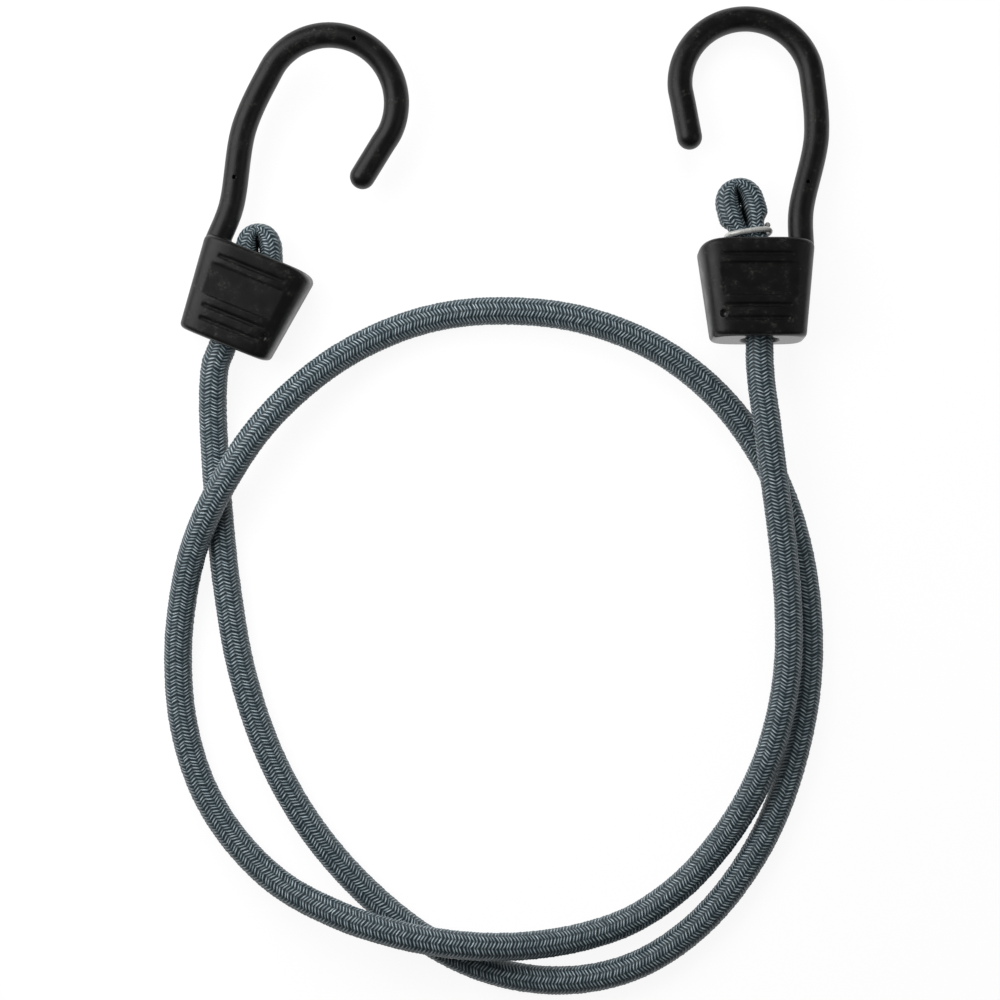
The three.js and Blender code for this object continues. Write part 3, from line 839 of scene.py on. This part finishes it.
def core_cutters():
    """The steel core's cavity and the holes that the mould's locating pins leave."""
    cavity = bmesh.new()
    rod(cavity, hook_line(1 + CORE_GAP / (ROOT_HEIGHT - FOOT_HEIGHT), TIP_COVER),
        CORE_DIAMETER / 2 + CORE_GAP, BAR_SIDES)
    blocks = [cavity]
    share = (PIN_HOLE_HEIGHT - SHANK_TOP) / (KNEE_HEIGHT - SHANK_TOP)
    shank = (SHANK_SIDE + (KNEE_SIDE - SHANK_SIDE) * share, PIN_HOLE_HEIGHT)
    bow = bow_point(PIN_HOLE_BOW_ANGLE)
    # The shank's hole goes right through, the bow's in from the back face only
    for place, lift in ((shank, 0), (bow, -BAR_DIAMETER / 2)):
        hole = bmesh.new()
        bmesh.ops.create_cone(
            hole, cap_ends=True, segments=BORE_SIDES, radius1=PIN_HOLE_RADIUS,
            radius2=PIN_HOLE_RADIUS, depth=BAR_DIAMETER + OVERRUN + lift,
            matrix=Matrix.Translation((place[0], place[1], lift)),
        )
        blocks.append(hole)
    return blocks


def dimple_cutters():
    """Balls that leave a round ejector mark on each broad face."""
    blocks = []
    for sign in (-1, 1):
        dimple = bmesh.new()
        bmesh.ops.create_uvsphere(
            dimple, u_segments=BAR_SIDES, v_segments=BAR_SIDES // 2, radius=DIMPLE_BALL,
            matrix=Matrix.Translation((*DIMPLE_PLACE, sign * DIMPLE_RISE)),
        )
        blocks.append(dimple)
    return blocks


def hook_moulding():
    """Collar and bar in one moulding, with the soft inner corners of moulded plastic."""
    target = loose("hook moulding", collar_block())
    bore = CORD_RADIUS + BORE_GAP
    mouth = bore + MOUTH_FLARE * (1 + OVERRUN / MOUTH_FLARE_HEIGHT)
    blocks = [pocket_block(), cylinder(bore, bore, -OVERRUN, POCKET_FLOOR + OVERRUN)]
    blocks.append(cylinder(bore, mouth, -OVERRUN, MOUTH_FLARE_HEIGHT))
    blocks += on_both_faces(panel_block())
    for height_share, length_share in zip(GROOVE_HEIGHT_SHARES, GROOVE_LENGTH_SHARES):
        blocks += on_both_faces(groove_block(height_share, length_share))
    cut(target, blocks)

    bm = bmesh.new()
    bm.from_mesh(target.data)
    root_share = ROOT_DEPTH / (ROOT_HEIGHT - FOOT_HEIGHT)
    rod(bm, hook_line(root_share, 0), BAR_DIAMETER / 2, BAR_SIDES)
    bmesh.ops.create_uvsphere(
        bm, u_segments=BAR_SIDES, v_segments=BAR_SIDES // 2, radius=BAR_DIAMETER / 2,
        matrix=Matrix.Translation((TIP_SIDE, TIP_HEIGHT, 0)),
    )
    bm.to_mesh(target.data)
    bm.free()
    fillets = target.modifiers.new("fillets", "REMESH")
    fillets.mode = "VOXEL"
    fillets.voxel_size = VOXEL
    softened = target.modifiers.new("softened", "SMOOTH")
    softened.factor = SMOOTH_FACTOR
    softened.iterations = SMOOTH_PASSES
    thinned = target.modifiers.new("thinned", "DECIMATE")
    thinned.ratio = THINNING
    settle(target)
    cut(target, core_cutters() + dimple_cutters())
    return target


def in_dimple(place):
    """Whether a place on the moulding lies in one of its two round dimples."""
    middle = Vector((*DIMPLE_PLACE, math.copysign(DIMPLE_RISE, place.z)))
    return (place - middle).length < DIMPLE_BALL + DIMPLE_MARGIN


# Materials

def add_node(tree, kind, settings=None, inputs=None):
    """Adds a node with its settings, and sets or links its inputs."""
    made = tree.nodes.new(kind)
    for name, value in (settings or {}).items():
        setattr(made, name, value)
    for socket, value in (inputs or {}).items():
        if isinstance(value, bpy.types.NodeSocket):
            tree.links.new(value, made.inputs[socket])
        else:
            made.inputs[socket].default_value = value
    return made


def new_material(name):
    material = bpy.data.materials.new(name)
    material.use_nodes = True
    material.node_tree.nodes.clear()
    return material, material.node_tree


def finish_material(tree, surface):
    add_node(tree, "ShaderNodeOutputMaterial", None, {"Surface": surface.outputs[0]})


def woven_polyester():
    """Braided polyester: satin strands over gaps of painted shade, with painted highlights along the
    filaments and painted shade in the fold's crease.
    """
    material, tree = new_material("braided_polyester_sleeve")
    uv = add_node(tree, "ShaderNodeTexCoord").outputs["UV"]
    parts = add_node(tree, "ShaderNodeSeparateXYZ", None, {0: uv})
    strand = add_node(tree, "ShaderNodeMath", {"operation": "PINGPONG"}, {
        0: parts.outputs["Y"], 1: STRAND_MIDDLE})
    column = add_node(tree, "ShaderNodeMath", {"operation": "PINGPONG"}, {
        0: parts.outputs["X"], 1: STRAND_MIDDLE})
    # Painted shade: the gaps between strands and the edges of each column are painted dark
    body = add_node(tree, "ShaderNodeMapRange", {"interpolation_type": "SMOOTHSTEP"}, {
        "Value": strand.outputs[0], "From Min": STRAND_EDGE, "From Max": STRAND_MIDDLE,
        "To Min": 0.0, "To Max": 1.0})
    ends = add_node(tree, "ShaderNodeMapRange", {"interpolation_type": "SMOOTHSTEP"}, {
        "Value": column.outputs[0], "From Min": 0.0, "From Max": COLUMN_EDGE,
        "To Min": COLUMN_EDGE_PAINTED_SHADE, "To Max": 1.0})
    floats = add_node(tree, "ShaderNodeMath", {"operation": "MULTIPLY"}, {
        0: body.outputs[0], 1: ends.outputs[0]})
    # Filaments run along each strand, about eight side by side
    lengthwise = add_node(tree, "ShaderNodeMapping", None, {"Vector": uv, "Scale": FILAMENT_SCALE})
    filaments = add_node(tree, "ShaderNodeTexNoise", {"noise_dimensions": "2D"}, {
        "Vector": lengthwise.outputs[0], "Scale": 1.0, "Detail": 3.0, "Roughness": 0.6})
    # Painted highlights: short bright dashes along the filaments, the rest of each float a little darker
    painted_glints = add_node(tree, "ShaderNodeMapRange", None, {
        "Value": filaments.outputs["Fac"], "From Min": PAINTED_GLINT_SPAN[0], "From Max": PAINTED_GLINT_SPAN[1],
        "To Min": PAINTED_GLINT_LOW, "To Max": 1.0})
    painted_light_mask = add_node(tree, "ShaderNodeMath", {"operation": "MULTIPLY"}, {
        0: floats.outputs[0], 1: painted_glints.outputs[0]})
    coarse = add_node(tree, "ShaderNodeMapping", None, {"Vector": uv, "Scale": PATCH_SCALE})
    patches = add_node(tree, "ShaderNodeTexNoise", {"noise_dimensions": "2D"}, {
        "Vector": coarse.outputs[0], "Scale": 1.0, "Detail": 2.0, "Roughness": 0.6})
    # Each float of a strand has a shade of its own
    floor = add_node(tree, "ShaderNodeVectorMath", {"operation": "FLOOR"}, {0: uv})
    own = add_node(tree, "ShaderNodeTexWhiteNoise", {"noise_dimensions": "2D"}, {
        "Vector": floor.outputs[0]})
    shade = add_node(tree, "ShaderNodeMix", {"data_type": "FLOAT"}, {
        0: OWN_SHADE, 2: patches.outputs["Fac"], 3: own.outputs["Value"]})
    bright = add_node(tree, "ShaderNodeMix", {"data_type": "RGBA"}, {
        0: shade.outputs[0], 6: srgb(STRAND_DULL), 7: srgb(STRAND_BRIGHT)})
    # Painted light and shade: the float colour where the mask is high, the painted gap shade where it is low
    colour = add_node(tree, "ShaderNodeMix", {"data_type": "RGBA"}, {
        0: painted_light_mask.outputs[0], 6: srgb(STRAND_GAP_PAINTED_SHADE), 7: bright.outputs[2]})
    # Painted shade: no light gets down to where the folded cord's legs meet, so the colour there is painted
    # nearly black
    crease_shade_mask = add_node(tree, "ShaderNodeAttribute", {"attribute_name": "crease"})
    colour = add_node(tree, "ShaderNodeMix", {"data_type": "RGBA"}, {
        0: crease_shade_mask.outputs["Fac"], 6: colour.outputs[2], 7: srgb(CREASE_PAINTED_SHADE)})
    bump = add_node(tree, "ShaderNodeBump", None, {
        "Height": filaments.outputs["Fac"], "Strength": 0.35, "Distance": 0.00006})
    # Painted shade: the shine and the sheen fade out in the crease too
    shine, sheen = [
        add_node(tree, "ShaderNodeMapRange", None, {
            "Value": crease_shade_mask.outputs["Fac"], "To Min": level, "To Max": 0.0})
        for level in (FIBRE_SHINE, FIBRE_SHEEN)
    ]
    surface = add_node(tree, "ShaderNodeBsdfPrincipled", None, {
        "Base Color": colour.outputs[2], "Roughness": 0.45,
        "Specular IOR Level": shine.outputs[0], "Sheen Weight": sheen.outputs[0],
        "Sheen Roughness": 0.5, "Sheen Tint": srgb(SHEEN_TINT), "Normal": bump.outputs[0]})
    finish_material(tree, surface)
    return material


def moulded_nylon():
    """Black glass-filled nylon from a mould: soft shine, fine grain and a few scuffs."""
    material, tree = new_material("moulded_black_nylon")
    place = add_node(tree, "ShaderNodeTexCoord").outputs["Object"]
    grain = add_node(tree, "ShaderNodeTexNoise", None, {
        "Vector": place, "Scale": 1 / NYLON_GRAIN, "Detail": 2.0, "Roughness": 0.5})
    waves = add_node(tree, "ShaderNodeTexNoise", None, {
        "Vector": place, "Scale": 1 / NYLON_WAVE, "Detail": 3.0, "Roughness": 0.6})
    rough = add_node(tree, "ShaderNodeMapRange", None, {
        "Value": waves.outputs["Fac"], "From Min": NOISE_SPAN[0], "From Max": NOISE_SPAN[1],
        "To Min": NYLON_ROUGHNESS[0], "To Max": NYLON_ROUGHNESS[1]})
    colour = add_node(tree, "ShaderNodeMix", {"data_type": "RGBA"}, {
        0: waves.outputs["Fac"], 6: srgb(NYLON_DARK), 7: srgb(NYLON_LIGHT)})
    # Scuffs: short pale marks that come in patches
    marks = add_node(tree, "ShaderNodeTexNoise", None, {
        "Vector": place, "Scale": 1 / SCUFF_MARK, "Detail": 4.0, "Roughness": 0.7})
    mark = add_node(tree, "ShaderNodeMapRange", None, {
        "Value": marks.outputs["Fac"], "From Min": SCUFF_SPAN[0], "From Max": SCUFF_SPAN[1]})
    patch = add_node(tree, "ShaderNodeMapRange", None, {
        "Value": waves.outputs["Fac"], "From Min": SCUFF_PATCH_SPAN[0],
        "From Max": SCUFF_PATCH_SPAN[1]})
    scuff = add_node(tree, "ShaderNodeMath", {"operation": "MULTIPLY"}, {
        0: mark.outputs[0], 1: patch.outputs[0]})
    colour = add_node(tree, "ShaderNodeMix", {"data_type": "RGBA"}, {
        0: scuff.outputs[0], 6: colour.outputs[2], 7: srgb(SCUFF_SHADE)})
    # The mould's end plate and ejector pins leave a smoother skin where they touch
    skin = add_node(tree, "ShaderNodeAttribute", {"attribute_name": "smooth_skin"})
    rough = add_node(tree, "ShaderNodeMix", {"data_type": "FLOAT"}, {
        0: skin.outputs["Fac"], 2: rough.outputs[0], 3: SMOOTH_ROUGHNESS})
    bump = add_node(tree, "ShaderNodeBump", None, {
        "Height": grain.outputs["Fac"], "Strength": 0.12, "Distance": 0.00004})
    surface = add_node(tree, "ShaderNodeBsdfPrincipled", None, {
        "Base Color": colour.outputs[2], "Roughness": rough.outputs[0], "IOR": 1.53,
        "Normal": bump.outputs[0]})
    finish_material(tree, surface)
    return material


def drawn_metal(name, grain, dark, light, metallic, roughness):
    """Drawn wire or rod: bright metal with faint lines and a dull zinc or oil film."""
    material, tree = new_material(name)
    place = add_node(tree, "ShaderNodeTexCoord").outputs["Object"]
    patches = add_node(tree, "ShaderNodeTexNoise", None, {
        "Vector": place, "Scale": 1 / grain, "Detail": 4.0, "Roughness": 0.6})
    colour = add_node(tree, "ShaderNodeMix", {"data_type": "RGBA"}, {
        0: patches.outputs["Fac"], 6: srgb(dark), 7: srgb(light)})
    rough = add_node(tree, "ShaderNodeMapRange", None, {
        "Value": patches.outputs["Fac"], "From Min": NOISE_SPAN[0], "From Max": NOISE_SPAN[1],
        "To Min": roughness * METAL_ROUGH_SHARES[0],
        "To Max": roughness * METAL_ROUGH_SHARES[1]})
    surface = add_node(tree, "ShaderNodeBsdfPrincipled", None, {
        "Base Color": colour.outputs[2], "Metallic": metallic, "Roughness": rough.outputs[0]})
    finish_material(tree, surface)
    return material


def rubber_threads():
    """Natural rubber threads: dull, pale tan, a little uneven."""
    material, tree = new_material("natural_rubber_threads")
    place = add_node(tree, "ShaderNodeTexCoord").outputs["Object"]
    patches = add_node(tree, "ShaderNodeTexNoise", None, {
        "Vector": place, "Scale": 1 / RUBBER_THREAD, "Detail": 2.0, "Roughness": 0.5})
    colour = add_node(tree, "ShaderNodeMix", {"data_type": "RGBA"}, {
        0: patches.outputs["Fac"], 6: srgb(THREAD_DARK), 7: srgb(THREAD_LIGHT)})
    surface = add_node(tree, "ShaderNodeBsdfPrincipled", None, {
        "Base Color": colour.outputs[2], "Roughness": 0.7, "IOR": 1.52})
    finish_material(tree, surface)
    return material


def table_top():
    """White table that glows to the camera, so that only soft contact shadows show on it.

    It throws less light back at the object than it shows, as a dark room's table does."""
    material, tree = new_material("white_table")
    path = add_node(tree, "ShaderNodeLightPath")
    seen = add_node(tree, "ShaderNodeMath", {"operation": "MAXIMUM"}, {
        0: path.outputs["Is Camera Ray"], 1: path.outputs["Is Glossy Ray"]})
    seen = add_node(tree, "ShaderNodeMath", {"operation": "MAXIMUM"}, {
        0: seen.outputs[0], 1: path.outputs["Is Transmission Ray"]})
    share = add_node(tree, "ShaderNodeMath", {"operation": "MULTIPLY"}, {
        0: seen.outputs[0], 1: TABLE_GLOW})
    shade = add_node(tree, "ShaderNodeMix", {"data_type": "RGBA"}, {
        0: seen.outputs[0], 6: srgb(TABLE_BOUNCE), 7: srgb(WHITE)})
    lit = add_node(tree, "ShaderNodeBsdfDiffuse", None, {"Color": shade.outputs[2]})
    glow = add_node(tree, "ShaderNodeEmission", None, {
        "Color": srgb(WHITE), "Strength": TABLE_WHITE})
    mixed = add_node(tree, "ShaderNodeMixShader", None, {
        0: share.outputs[0], 1: lit.outputs[0], 2: glow.outputs[0]})
    finish_material(tree, mixed)
    return material


# Camera, table and light come first, then the cord

scene = bpy.context.scene
scene.view_settings.view_transform = "Standard"
camera_data = bpy.data.cameras.new("camera")
camera_data.sensor_width = SENSOR_WIDTH
camera_data.lens = SENSOR_WIDTH * VIEW_DISTANCE / VIEW_WIDTH
camera_data.clip_start = CLIP_START
camera = bpy.data.objects.new("camera", camera_data)
camera.location = CAMERA_PLACE
scene.collection.objects.link(camera)
scene.camera = camera

world = bpy.data.worlds.new("white room")
world.use_nodes = True
world_tree = world.node_tree
world_tree.nodes.clear()
world_path = add_node(world_tree, "ShaderNodeLightPath")
world_lit = add_node(world_tree, "ShaderNodeMapRange", None, {
    "Value": world_path.outputs["Is Glossy Ray"], "To Min": ROOM_LIGHT, "To Max": ROOM_SHINE})
world_strength = add_node(world_tree, "ShaderNodeMapRange", None, {
    "Value": world_path.outputs["Is Camera Ray"], "To Min": world_lit.outputs[0], "To Max": 1.0})
room = add_node(world_tree, "ShaderNodeBackground", None, {
    "Color": srgb(WHITE), "Strength": world_strength.outputs[0]})
add_node(world_tree, "ShaderNodeOutputWorld", None, {"Surface": room.outputs[0]})
scene.world = world

for name, place, size, power, shines in LAMPS:
    lamp_data = bpy.data.lights.new(name, "AREA")
    lamp_data.shape = "SQUARE"
    lamp_data.size = size
    lamp_data.energy = power
    lamp = bpy.data.objects.new(name, lamp_data)
    lamp.location = place
    aim = Vector(LAMP_AIM) - Vector(place)
    lamp.rotation_euler = aim.to_track_quat("-Z", "Y").to_euler()
    lamp.visible_camera = False
    lamp.visible_glossy = shines
    scene.collection.objects.link(lamp)

table_bm = bmesh.new()
bmesh.ops.create_grid(table_bm, x_segments=1, y_segments=1, size=TABLE_SIZE)
table_mesh = bpy.data.meshes.new("table")
table_bm.to_mesh(table_mesh)
table_bm.free()
table_mesh.materials.append(table_top())
table = bpy.data.objects.new("table", table_mesh)
table.location = (0, 0, TABLE_DROP)
scene.collection.objects.link(table)

braid = woven_polyester()
rubber = rubber_threads()
nylon = moulded_nylon()
ring_wire = drawn_metal("galvanised_wire", RING_WIRE, **RING_ZINC)
steel = drawn_metal("drawn_steel_rod", CORE_DIAMETER, **ROD_STEEL)

rows = {
    "left tail": 0,
    "left bore": row_at(left_mouth - NECK_INSIDE),
    "left neck": row_at(left_mouth + NECK_LENGTH),
    "right neck": row_at(right_mouth - NECK_LENGTH),
    "right bore": row_at(right_mouth + NECK_INSIDE),
    "right tail": math.ceil(cord_length / STRAND_PITCH) * ROWS_PER_STRAND,
}

for side, fold_rows, neck_rows in (
    ("left", ("left tail", "left bore"), ("left bore", "left neck")),
    ("right", ("right bore", "right tail"), ("right neck", "right bore")),
):
    end = ENDS[side]
    body = side + "_fold"
    first, last = [rows[name] for name in fold_rows]
    sleeve_piece(side + "_fold_braid", first, last, end, body=body,
                 replaced=[side + "_fold_sleeve"])
    rubber_piece(side + "_fold_threads", first, last, end, body=body,
                 replaced=[side + "_fold_rubber"])
    first, last = [rows[name] for name in neck_rows]
    far = last if side == "left" else first
    mouth_distance = left_mouth if side == "left" else right_mouth
    far_place, mouth_place = [
        Vector(read_off(cord_line, at, cord_line))
        for at in (far * ROW_PITCH, mouth_distance)
    ]
    toward = (mouth_place - far_place).normalized() * BLEND_MARGIN
    for made, word, node in (
        (sleeve_piece, "braid", "cord_sleeve"),
        (rubber_piece, "threads", "cord_rubber"),
    ):
        neck = made(side + "_neck_" + word, first, last, replaced=[node])
        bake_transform(neck, "cord", body, start=far_place + toward, end=mouth_place - toward)

first, last = rows["left neck"], rows["right neck"]
main = sleeve_piece("cord_braid", first, last, body="cord", replaced=["cord_sleeve"])
rubber_piece("cord_threads", first, last, body="cord", replaced=["cord_rubber"])

moulding = hook_moulding()
for side, end in ENDS.items():
    matrix = end_matrix(end)
    wire = bmesh.new()
    rod(wire, moved(ring_line(end), matrix), RING_WIRE / 2, WIRE_SIDES)
    make_piece(side + "_ring", wire, ring_wire, "ring_wire", side + "_fold",
               [side + "_crimp_ring"])
    shape = bmesh.new()
    shape.from_mesh(moulding.data)
    skin = shape.verts.layers.float.new("smooth_skin")
    for vert in shape.verts:
        vert[skin] = float(vert.co.y < SMOOTH_REACH or in_dimple(vert.co))
    shape.transform(matrix)
    make_piece(side + "_hook", shape, nylon, "nylon", side + "_hook", [side + "_hook_moulding"])
    core = bpy.data.objects[side + "_hook_steel_core"]
    core.data.materials.clear()
    core.data.materials.append(steel)
bpy.data.objects.remove(moulding)
